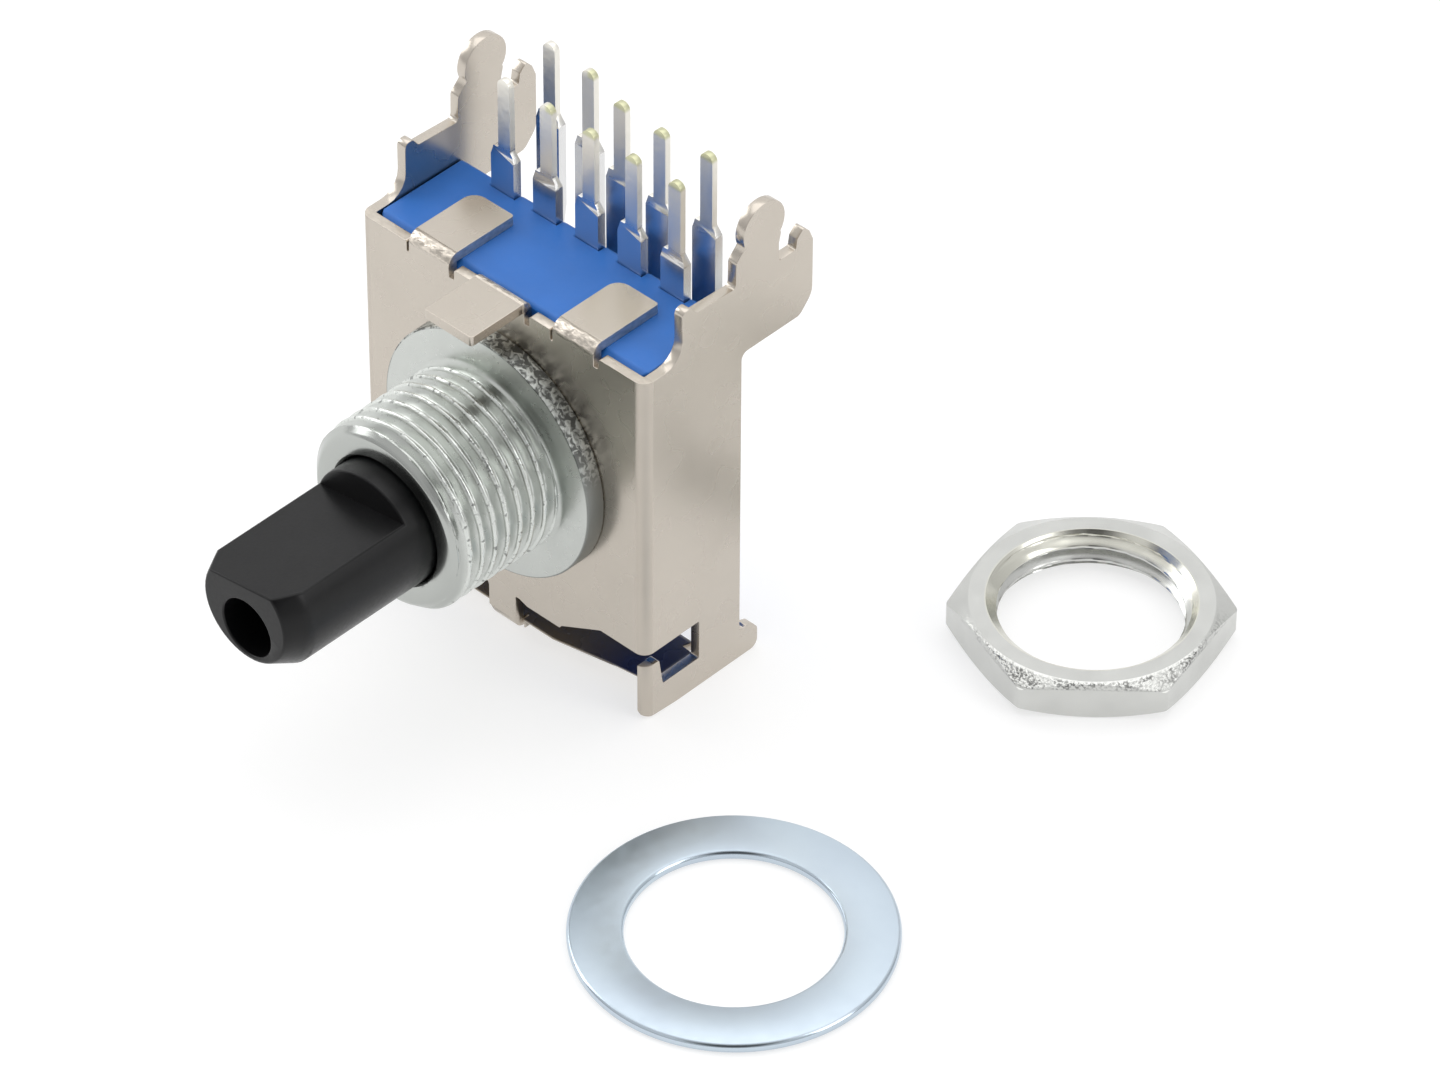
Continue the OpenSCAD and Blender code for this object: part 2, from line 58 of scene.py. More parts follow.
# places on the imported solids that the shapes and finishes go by
SHEET_T = 0.5 * MM
TAB_TOP = 8.4 * MM
TAB_Y = (0.5 * MM, 4.4 * MM)
TAB_X = 7 * MM
BORE_R = 3.03 * MM
BOSS_R = 4.3 * MM
STAKE_R = 4.9 * MM
THREAD_R = 4.5 * MM
THREAD_MINOR_R = 4.1 * MM
BUSHING_FLANGE_T = 1.0 * MM
WASHER_HOLE_R = 4.6 * MM
NUT_FLAT_R = 5.5 * MM
NUT_TURN = math.radians(42)

# the table's share of plain reflection where it is seen, and the glow that makes up the rest
TABLE_LIT = 0.5
TABLE_GLOW = 0.61


# ---------------------------------------------------------------- sizes and colours


class SwitchSizes(bpy.types.PropertyGroup):
    """Sizes of the finishing detail."""

    sheet_edge: bpy.props.FloatProperty(
        name="Sheet edge", description="Rounding left by stamping on the folded sheet",
        default=0.03 * MM, min=0.01 * MM, max=0.06 * MM, unit="LENGTH", precision=6)
    tab_edge: bpy.props.FloatProperty(
        name="Tab edge", description="Rolled upper rim of the tabs folded over the case",
        default=0.2 * MM, min=0.05 * MM, max=0.24 * MM, unit="LENGTH", precision=6)
    moulded_edge: bpy.props.FloatProperty(
        name="Moulded edge", description="Rounding of the moulded plastic edges",
        default=0.09 * MM, min=0.02 * MM, max=0.2 * MM, unit="LENGTH", precision=6)
    terminal_edge: bpy.props.FloatProperty(
        name="Terminal edge", description="Rounding of the stamped terminals",
        default=0.045 * MM, min=0.01 * MM, max=0.08 * MM, unit="LENGTH", precision=6)
    pin_edge: bpy.props.FloatProperty(
        name="Pin edge", description="Rounding along the coined solder pins",
        default=0.15 * MM, min=0.02 * MM, max=0.15 * MM, unit="LENGTH", precision=6)
    washer_edge: bpy.props.FloatProperty(
        name="Washer edge", description="Rounding of the washer's rims",
        default=0.17 * MM, min=0.02 * MM, max=0.2 * MM, unit="LENGTH", precision=6)
    thread_pitch: bpy.props.FloatProperty(
        name="Thread pitch", description="Pitch of the fine thread on bushing and nut",
        default=0.75 * MM, min=0.5 * MM, max=1.0 * MM, unit="LENGTH", precision=6)
    thread_depth: bpy.props.FloatProperty(
        name="Thread depth", description="Depth of the fine thread",
        default=0.43 * MM, min=0.2 * MM, max=0.46 * MM, unit="LENGTH", precision=6)
    around: bpy.props.IntProperty(
        name="Steps around", description="Steps round the threads",
        default=220, min=60, max=360)


class SwitchColours(bpy.types.PropertyGroup):
    """Colours of the finishes."""

    plate: bpy.props.FloatVectorProperty(
        name="Nickel plate", description="Satin nickel on the folded sheet",
        subtype="COLOR", size=3, default=(0.56, 0.512, 0.45), min=0, max=1)
    # painted shade and painted reflection on the flange under the case: its brown-black part
    painted_shade_and_reflection: bpy.props.FloatVectorProperty(
        name="Shadow", description="Dark film on the flange under the case",
        subtype="COLOR", size=3, default=(0.12, 0.088, 0.048), min=0, max=1)
    # painted reflection of the blue case at the right end of the painted shade
    painted_case_reflection: bpy.props.FloatVectorProperty(
        name="Film at the right", description="The film's bluish end",
        subtype="COLOR", size=3, default=(0.012, 0.014, 0.05), min=0, max=1)
    casting: bpy.props.FloatVectorProperty(
        name="Zinc casting", description="Die-cast zinc of the bushing",
        subtype="COLOR", size=3, default=(0.56, 0.58, 0.555), min=0, max=1)
    shaft: bpy.props.FloatVectorProperty(
        name="Black plastic", description="Moulded shaft",
        subtype="COLOR", size=3, default=(0.004, 0.004, 0.0045), min=0, max=1)
    blue: bpy.props.FloatVectorProperty(
        name="Blue plastic", description="Case and contact wafers",
        subtype="COLOR", size=3, default=(0.022, 0.160, 0.56), min=0, max=1)
    tin: bpy.props.FloatVectorProperty(
        name="Tin plate", description="Terminals",
        subtype="COLOR", size=3, default=(0.73, 0.73, 0.73), min=0, max=1)
    copper_core: bpy.props.FloatVectorProperty(
        name="Bare cut end", description="Copper alloy showing at the pins' cut ends",
        subtype="COLOR", size=3, default=(0.60, 0.60, 0.40), min=0, max=1)
    nut: bpy.props.FloatVectorProperty(
        name="Nut plate", description="Bright nickel on the nut",
        subtype="COLOR", size=3, default=(0.60, 0.605, 0.585), min=0, max=1)
    washer: bpy.props.FloatVectorProperty(
        name="Washer zinc", description="Bluish zinc plate of the washer",
        subtype="COLOR", size=3, default=(0.55, 0.635, 0.725), min=0, max=1)
    bronze: bpy.props.FloatVectorProperty(
        name="Spring bronze", description="Click spring and wipers",
        subtype="COLOR", size=3, default=(0.62, 0.42, 0.22), min=0, max=1)
    ivory: bpy.props.FloatVectorProperty(
        name="Ivory plastic", description="Contact carriers",
        subtype="COLOR", size=3, default=(0.74, 0.70, 0.60), min=0, max=1)
    floor: bpy.props.FloatVectorProperty(
        name="Table", description="Table under the switch",
        subtype="COLOR", size=3, default=(0.90, 0.90, 0.90), min=0, max=1)


def sizes():
    """The finishing sizes that the panel shows."""
    return bpy.context.scene.switch_sizes


def colours():
    """The colours that the panel shows."""
    return bpy.context.scene.switch_colours


# ---------------------------------------------------------------- finishes


class Finish:
    """One material and the few nodes that every finish here is made of."""

    def __init__(self, name, colour, metallic, roughness):
        self.material = bpy.data.materials.new(name)
        self.material.use_nodes = True
        self.tree = self.material.node_tree
        self.nodes, self.links = self.tree.nodes, self.tree.links
        self.shader = self.nodes["Principled BSDF"]
        self.shader.inputs["Base Color"].default_value = (*colour, 1)
        self.shader.inputs["Metallic"].default_value = metallic
        self.shader.inputs["Roughness"].default_value = roughness
        self.place = self.nodes.new("ShaderNodeTexCoord").outputs["Object"]

    def stretched(self, scale):
        """The object's own coordinates, scaled per axis."""
        mapping = self.nodes.new("ShaderNodeMapping")
        mapping.inputs["Scale"].default_value = scale
        self.links.new(self.place, mapping.inputs["Vector"])
        return mapping.outputs["Vector"]

    def noise(self, size, detail=3.0, stretch=(1, 1, 1), distortion=0.0):
        """Noise whose blotches are about size across, in metres."""
        texture = self.nodes.new("ShaderNodeTexNoise")
        texture.inputs["Scale"].default_value = 1 / size
        texture.inputs["Detail"].default_value = detail
        texture.inputs["Distortion"].default_value = distortion
        self.links.new(self.stretched(stretch), texture.inputs["Vector"])
        return texture.outputs["Fac"]

    def spread(self, value, low, high, span=(0.3, 0.7)):
        """A value stretched from span to low..high."""
        node = self.nodes.new("ShaderNodeMapRange")
        node.inputs["From Min"].default_value = span[0]
        node.inputs["From Max"].default_value = span[1]
        node.inputs["To Min"].default_value = low
        node.inputs["To Max"].default_value = high
        self.links.new(value, node.inputs["Value"])
        return node.outputs["Result"]

    def mixed(self, factor, first, second):
        """A colour between two colours, each plain or linked."""
        node = self.nodes.new("ShaderNodeMix")
        node.data_type = "RGBA"
        for name, colour in (("A", first), ("B", second)):
            if isinstance(colour, bpy.types.NodeSocket):
                self.links.new(colour, node.inputs[name])
            else:
                node.inputs[name].default_value = (*colour, 1)
        self.links.new(factor, node.inputs["Factor"])
        return node.outputs["Result"]

    def math(self, kind, first, second):
        """Two values joined by one sum or product."""
        node = self.nodes.new("ShaderNodeMath")
        node.operation = kind
        for socket, value in zip(node.inputs, (first, second)):
            if isinstance(value, bpy.types.NodeSocket):
                self.links.new(value, socket)
            else:
                socket.default_value = value
        return node.outputs["Value"]

    def axis(self, name):
        """One of the object's own coordinates."""
        split = self.nodes.new("ShaderNodeSeparateXYZ")
        self.links.new(self.place, split.inputs["Vector"])
        return split.outputs[name]

    def along(self, direction):
        """How far the object's coordinates lie along a direction."""
        node = self.nodes.new("ShaderNodeVectorMath")
        node.operation = "DOT_PRODUCT"
        node.inputs[1].default_value = direction
        self.links.new(self.place, node.inputs[0])
        return node.outputs["Value"]

    def reach(self, keep, centre=(0, 0, 0)):
        """Distance from a centre, measured along the kept axes."""
        value = self.place
        for operation, constant in (("SUBTRACT", centre), ("MULTIPLY", keep)):
            node = self.nodes.new("ShaderNodeVectorMath")
            node.operation = operation
            node.inputs[1].default_value = constant
            self.links.new(value, node.inputs[0])
            value = node.outputs["Vector"]
        length = self.nodes.new("ShaderNodeVectorMath")
        length.operation = "LENGTH"
        self.links.new(value, length.inputs[0])
        return length.outputs["Value"]

    def within(self, axis, low, high, fade):
        """1 where the object's coordinate on an axis lies between low and high."""
        rise = self.spread(self.axis(axis), 0, 1, (low - fade, low + fade))
        fall = self.spread(self.axis(axis), 1, 0, (high - fade, high + fade))
        return self.math("MULTIPLY", rise, fall)

    def tinted(self, factor, first, second):
        """Colours the surface between two colours."""
        self.links.new(self.mixed(factor, first, second), self.shader.inputs["Base Color"])
        return self

    def rough(self, value):
        """Links the roughness."""
        self.links.new(value, self.shader.inputs["Roughness"])
        return self

    def bumped(self, height, distance, strength=1.0):
        """Adds relief on top of any relief there already."""
        node = self.nodes.new("ShaderNodeBump")
        node.inputs["Strength"].default_value = strength
        node.inputs["Distance"].default_value = distance
        self.links.new(height, node.inputs["Height"])
        if self.shader.inputs["Normal"].is_linked:
            before = self.shader.inputs["Normal"].links[0].from_socket
            self.links.new(before, node.inputs["Normal"])
        self.links.new(node.outputs["Normal"], self.shader.inputs["Normal"])
        return self


def shade(colour, factor):
    """A colour made darker or lighter."""
    return tuple(min(1.0, channel * factor) for channel in colour)


def nickel_sheet():
    base = tuple(colours().plate)
    f = Finish("nickel_plated_sheet", base, 1.0, 0.26)
    # painted shade and painted reflection on the flange under the case: brown-black to the left, and
    # a painted reflection of the blue case to the right
    low = f.math("MULTIPLY", f.within("Z", -9.86 * MM, -9.7 * MM, 0.02 * MM),
                 f.within("Y", 0.3 * MM, 4.3 * MM, 0.12 * MM))
    low = f.math("MULTIPLY", low, f.within("X", -7.6 * MM, 7.6 * MM, 0.2 * MM))
    painted_shade_and_reflection = f.mixed(f.spread(f.axis("X"), 0, 1, (3.4 * MM, 6.0 * MM)), colours().painted_shade_and_reflection,
                   colours().painted_case_reflection)
    # the upright folds are a little brushed
    fold = f.math("MULTIPLY", f.within("Y", -0.04 * MM, 0.5 * MM, 0.04 * MM),
                  f.spread(f.math("ABSOLUTE", f.axis("X"), 0.0), 0, 1, (7.82 * MM, 7.95 * MM)))
    # stretched, frosted bands where the tabs and the lug are folded over, painted lighter: frost
    # marks together with a painted highlight along the folds
    bands = f.math("MULTIPLY", f.within("Y", -0.04 * MM, 0.46 * MM, 0.06 * MM),
                   f.within("Z", 7.95 * MM, 8.6 * MM, 0.08 * MM))
    frost = f.noise(0.17 * MM, 2, stretch=(0.5, 1, 1))
    tone = f.mixed(f.spread(f.noise(3 * MM, 3), 0, 1), shade(base, 0.98), shade(base, 1.02))
    # frost marks with a painted highlight, up to half again lighter than the plate
    frost_and_highlight = f.mixed(f.spread(frost, 0, 1, (0.4, 0.6)), shade(base, 0.9), shade(base, 1.45))
    tone = f.mixed(bands, tone, frost_and_highlight)
    # the painted shade and painted reflection replace the plate's tone there, without metal
    f.links.new(f.mixed(low, tone, painted_shade_and_reflection), f.shader.inputs["Base Color"])
    f.links.new(f.math("SUBTRACT", 1.0, low), f.shader.inputs["Metallic"])
    f.rough(f.math("ADD", f.math("ADD", f.spread(f.noise(1.8 * MM, 2), 0.25, 0.29),
                                 f.math("MULTIPLY", fold, 0.2)),
                   f.math("MULTIPLY", bands, 0.12)))
    return f.bumped(f.math("MULTIPLY", bands, frost), 0.08 * MM, 1.0).material


def sheared_edge():
    base = shade(tuple(colours().plate), 1.3)
    f = Finish("sheared_sheet_edge", base, 1.0, 0.45)
    grain = f.noise(0.15 * MM, 3, stretch=(0.4, 0.4, 1))
    f.tinted(f.spread(grain, 0, 1), shade(base, 0.75), shade(base, 1.1))
    return f.bumped(grain, 0.03 * MM, 0.6).material


def zinc_casting():
    base = tuple(colours().casting)
    f = Finish("die_cast_zinc", base, 1.0, 0.34)
    grain = f.noise(0.22 * MM, 3)
    radius = f.reach((1, 0, 1))
    # the flange's rim is as cast and dull, painted darker as painted shade on its side, and torn
    # towards its top
    rim = f.spread(radius, 0, 1, (5.96 * MM, 6.0 * MM))
    torn = f.math("MULTIPLY", rim, f.spread(f.axis("Z"), 0, 1, (1.2 * MM, 3.0 * MM)))
    flecks = f.noise(0.27 * MM, 4, distortion=0.9)
    tone = f.mixed(f.spread(f.noise(2.2 * MM, 2), 0, 1), shade(base, 0.97), shade(base, 1.04))
    coarse = f.mixed(f.spread(flecks, 0, 1, (0.44, 0.60)), shade(base, 0.26), shade(base, 1.05))
    tone = f.mixed(torn, f.mixed(rim, tone, shade(base, 0.45)), coarse)
    # the thread's crests are nicked, and painted lighter between the nicks as a painted highlight
    # along them
    thread = f.within("Y", -7.3 * MM, -1.15 * MM, 0.05 * MM)
    crest = f.math("MULTIPLY", f.spread(radius, 0, 1, (4.36 * MM, 4.42 * MM)), thread)
    nicks = f.noise(0.22 * MM, 4, stretch=(1, 0.5, 1))
    bright = f.mixed(f.spread(nicks, 0, 1, (0.33, 0.42)), shade(base, 0.5), shade(base, 1.2))
    tone = f.mixed(crest, tone, bright)
    # the mouth is turned and shinier, painted a fifth darker, and chipped along its inner edge
    mouth = f.within("Y", -7.6 * MM, -6.55 * MM, 0.08 * MM)
    chips = f.math("MULTIPLY", f.within("Y", -7.6 * MM, -6.8 * MM, 0.03 * MM),
                   f.spread(radius, 1, 0, (3.2 * MM, 3.26 * MM)))
    chips = f.math("MULTIPLY", chips, f.spread(f.noise(0.2 * MM, 3), 0, 1, (0.55, 0.6)))
    tone = f.mixed(mouth, tone, shade(base, 0.80))
    f.links.new(f.mixed(chips, tone, shade(base, 0.12)), f.shader.inputs["Base Color"])
    f.rough(f.math("ADD", f.math("SUBTRACT", f.spread(grain, 0.27, 0.31),
                                 f.math("MULTIPLY", mouth, 0.08)),
                   f.math("MULTIPLY", rim, 0.14)))
    f.bumped(f.math("ADD", f.math("MULTIPLY", crest, nicks), f.math("MULTIPLY", torn, flecks)),
             0.05 * MM, 0.7)
    return f.material


def black_plastic():
    base = tuple(colours().shaft)
    f = Finish("black_moulding", base, 0.0, 0.36)
    f.shader.inputs["Specular IOR Level"].default_value = 0.27
    grain = f.noise(0.16 * MM, 3)
    f.tinted(f.spread(f.noise(1.8 * MM, 3), 0, 1), shade(base, 0.8), shade(base, 1.3))
    f.rough(f.spread(grain, 0.28, 0.38))
    return f.bumped(grain, 0.006 * MM, 0.4).material


def blue_plastic():
    base = tuple(colours().blue)
    f = Finish("blue_moulding", base, 0.0, 0.38)
    grain = f.noise(0.2 * MM, 3)
    f.tinted(f.spread(f.noise(3 * MM, 3), 0, 1), shade(base, 0.92), shade(base, 1.06))
    f.rough(f.spread(grain, 0.34, 0.46))
    return f.bumped(grain, 0.006 * MM, 0.35).material


def tin_plate():
    base = tuple(colours().tin)
    f = Finish("tin_plated_terminal", base, 1.0, 0.2)
    own = f.nodes.new("ShaderNodeSeparateXYZ")
    f.links.new(f.nodes["Texture Coordinate"].outputs["Generated"], own.inputs["Vector"])
    tip = f.spread(own.outputs["Z"], 0, 1, (0.968, 0.982))
    side = f.spread(own.outputs["X"], 0, 1, (0.42, 0.56))
    # the stems above the shoulders were dipped, so they are cloudier and warmer
    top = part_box("terminal_front_1")[1].z
    dipped = f.spread(f.axis("Z"), 0, 1, (top - 3.8 * MM, top - 3.3 * MM))
    tone = f.mixed(dipped, base, (base[0] * 1.14, base[1] * 1.11, base[2] * 1.02))
    f.links.new(f.mixed(f.math("MULTIPLY", tip, side), tone, tuple(colours().copper_core)),
                f.shader.inputs["Base Color"])
    grain = f.noise(0.5 * MM, 3, stretch=(1, 1, 0.25))
    f.rough(f.math("ADD", f.spread(grain, 0.19, 0.25), f.math("MULTIPLY", dipped, 0.16)))
    return f.bumped(f.math("MULTIPLY", dipped, f.noise(0.4 * MM, 2)), 0.03 * MM, 0.5).material


def bright_nut():
    base = tuple(colours().nut)
    f = Finish("bright_nickel_nut", base, 1.0, 0.22)
    low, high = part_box("mounting_nut")
    centre = (low + high) / 2
    radius = f.reach((1, 1, 0), centre)
    tone = f.mixed(f.spread(f.noise(2 * MM, 3), 0, 1), shade(base, 0.95), shade(base, 1.04))
    # the countersink is painted warmer and a little lighter than the rest
    warm = (base[0] * 1.16, base[1] * 1.14, base[2] * 1.06)
    inner = f.math("MULTIPLY", f.spread(radius, 1, 0, (4.62 * MM, 4.7 * MM)),
                   f.spread(f.axis("Z"), 0, 1, (high.z - 0.62 * MM, high.z - 0.5 * MM)))
    tone = f.mixed(inner, tone, warm)
    # the turned chamfer is pitted on the side that lies to the front
    chamfer = f.math("MULTIPLY", f.within("Z", -9.25 * MM, -8.88 * MM, 0.03 * MM),
                     f.spread(radius, 0, 1, (5.3 * MM, 5.42 * MM)))
    way = Vector((0.69, -0.72, 0))
    middle = centre.dot(way)
    front = f.spread(f.along(way), 0, 1, (middle + 0.5 * MM, middle + 3.6 * MM))
    nicks = f.noise(0.13 * MM, 3)
    pits = f.math("MULTIPLY", f.spread(nicks, 1, 0, (0.43, 0.54)),
                  f.spread(f.noise(0.9 * MM, 2), 0.25, 1, (0.4, 0.55)))
    pits = f.math("MULTIPLY", pits, f.math("MULTIPLY", chamfer, front))
    f.links.new(f.mixed(pits, tone, shade(base, 0.3)), f.shader.inputs["Base Color"])
    f.rough(f.spread(f.noise(0.8 * MM, 3), 0.17, 0.27))
    f.bumped(f.math("MULTIPLY", f.math("MULTIPLY", chamfer, front), nicks), 0.05 * MM, 0.7)
    return f.bumped(f.noise(1.2 * MM, 2), 0.02 * MM, 0.3).material


def zinc_washer():
    base = tuple(colours().washer)
    f = Finish("bluish_zinc_washer", base, 1.0, 0.34)
    cloud = f.noise(5 * MM, 3)
    f.tinted(f.spread(cloud, 0, 1), shade(base, 0.93), (base[0] * 1.03, base[1] * 1.03, base[2]))
    # the faces are satin and the punched walls are burnished
    face = f.within("Z", -10.39 * MM, -10.2 * MM, 0.03 * MM)
    satin = f.spread(f.noise(0.5 * MM, 3), 0.36, 0.44)
    f.rough(f.math("ADD", f.math("MULTIPLY", face, satin),
                   f.math("MULTIPLY", f.math("SUBTRACT", 1.0, face), 0.14)))
    return f.bumped(f.noise(0.25 * MM, 3), 0.004 * MM, 0.3).material


def spring_bronze():
    base = tuple(colours().bronze)
    f = Finish("spring_bronze", base, 1.0, 0.3)
    grain = f.noise(0.4 * MM, 3, stretch=(0.2, 1, 1))
    f.tinted(f.spread(grain, 0, 1), shade(base, 0.9), shade(base, 1.08))
    return f.rough(f.spread(grain, 0.24, 0.38)).material


def ivory_plastic():
    base = tuple(colours().ivory)
    f = Finish("ivory_moulding", base, 0.0, 0.45)
    grain = f.noise(0.3 * MM, 3)
    f.tinted(f.spread(f.noise(2 * MM, 3), 0, 1), shade(base, 0.95), shade(base, 1.04))
    return f.bumped(grain, 0.006 * MM, 0.4).material


FINISHES = {}


def finish(maker):
    """Each finish is made once and shared."""
    if maker.__name__ not in FINISHES:
        FINISHES[maker.__name__] = maker()
    return FINISHES[maker.__name__]


# ---------------------------------------------------------------- shapes


def new_piece(name, mesh, maker, body, replaced):
    """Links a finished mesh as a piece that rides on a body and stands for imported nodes."""
    piece = bpy.data.objects.new(name, mesh)
    bpy.context.scene.collection.objects.link(piece)
    mesh.materials.clear()
    mesh.materials.append(finish(maker))
    level = piece.modifiers.new("level_faces", "WEIGHTED_NORMAL")
    level.keep_sharp = True
    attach(piece, body)
    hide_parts(*replaced)
    return piece


def soften(mesh, angle=32):
    """Smooth shading that keeps edges sharper than angle."""
    for polygon in mesh.polygons:
        polygon.use_smooth = True
    mesh.set_sharp_from_angle(angle=math.radians(angle))


def ease_edges(bm, width, angle, segments, chosen=None, clamp=True):
    """Rounds the outward edges sharper than angle, or only the chosen ones among them."""
    edges = [e for e in bm.edges
             if len(e.link_faces) == 2 and e.is_convex
             and e.calc_face_angle(0) > math.radians(angle) and (chosen is None or chosen(e))]
    if not edges:
        return set()
    made = bmesh.ops.bevel(bm, geom=edges, offset=width, offset_type="OFFSET",
                           segments=segments, profile=0.5, affect="EDGES", clamp_overlap=clamp,
                           loop_slide=True)
    return set(made["verts"])


def settle(elements, place):
    """Puts points, edges or faces in the order of their places, the same on every run."""
    for index, element in enumerate(sorted(elements, key=place)):
        element.index = index
    elements.sort()


def eased(node, width, angle=34, segments=2, wide=None, fine=False):
    """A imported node's shape with its outward edges rounded by width.

    wide is (test, width): the edges that pass the test are rounded by that width first.
    fine is for outlines with steps shorter than width: they don't hold the rounding back, and
    the edges that meet the wide ones stay sharp."""
    bm = bmesh.new()
    bm.from_mesh(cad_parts[node].data)
    for layer in list(bm.loops.layers.uv):
        bm.loops.layers.uv.remove(layer)
    bmesh.ops.remove_doubles(bm, verts=bm.verts, dist=0.0004 * MM)
    bmesh.ops.dissolve_limit(bm, angle_limit=math.radians(0.4), verts=bm.verts, edges=bm.edges)
    bmesh.ops.recalc_face_normals(bm, faces=bm.faces)
    rounded = ease_edges(bm, wide[1], 50, 4, wide[0]) if wide else set()
    if fine:
        ease_edges(bm, width, angle, segments, lambda e: not rounded.intersection(e.verts), False)
    else:
        ease_edges(bm, width, angle, segments)
    bmesh.ops.recalc_face_normals(bm, faces=bm.faces)
    settle(bm.verts, lambda vert: tuple(vert.co))
    settle(bm.edges, lambda edge: sorted(tuple(v.co) for v in edge.verts))
    settle(bm.faces, lambda face: sorted(tuple(v.co) for v in face.verts))
    clean = bpy.data.meshes.new(node + "_eased")
    bm.to_mesh(clean)
    bm.free()
    soften(clean)
    return clean


def lathe(rows, angles, centre, axis):
    """A closed turned body: each row gives the radius and the height at every angle."""
    bm = bmesh.new()
    along = Vector(axis)
    side = Vector((1, 0, 0))
    up = along.cross(side)
    around = [(side * math.cos(a) + up * math.sin(a)) for a in angles]
    rings = [[bm.verts.new(centre + along * h + out * r)
              for out, r, h in zip(around, radii, heights)] for radii, heights in rows]
    rings.append(rings[0])
    for a, b in zip(rings, rings[1:]):
        n = len(a)
        for i in range(n):
            bm.faces.new((a[i], a[(i + 1) % n], b[(i + 1) % n], b[i]))
    bmesh.ops.remove_doubles(bm, verts=bm.verts, dist=0.0002 * MM)
    bmesh.ops.recalc_face_normals(bm, faces=bm.faces)
    mesh = bpy.data.meshes.new("turned")
    bm.to_mesh(mesh)
    bm.free()
    return mesh


def circle(radius, height, n):
    """A plain row of a turned body."""
    return [radius] * n, [height] * n


def round_angles(n):
    """Angles evenly round a circle."""
    return [2 * math.pi * i / n for i in range(n)]


def thread_form(turns):
    """Height of the thread, 0 at its root and 1 at its crest, for a place in turns."""
    f = turns % 1.0
    f = 1 - f if f > 0.5 else f
    root, flank, rolled = 0.05, 0.39, 0.2
    rise = min(1.0, max(0.0, (f - root) / flank))
    return (1 - rolled) * rise + rolled * rise * rise * (3 - 2 * rise)


def ramp(value, low, high):
    """0 below low, 1 above high and straight between."""
    return min(1.0, max(0.0, (value - low) / (high - low)))


# ---------------------------------------------------------------- operators


def seen(nodes, links):
    """1 for rays that show the surroundings: the camera's, and those off metal or through glass."""
    path = nodes.new("ShaderNodeLightPath")
    both = nodes.new("ShaderNodeMath")
    both.operation = "MAXIMUM"
    links.new(path.outputs["Is Camera Ray"], both.inputs[0])
    links.new(path.outputs["Is Glossy Ray"], both.inputs[1])
    every = nodes.new("ShaderNodeMath")
    every.operation = "MAXIMUM"
    links.new(both.outputs["Value"], every.inputs[0])
    links.new(path.outputs["Is Transmission Ray"], every.inputs[1])
    return every.outputs["Value"]


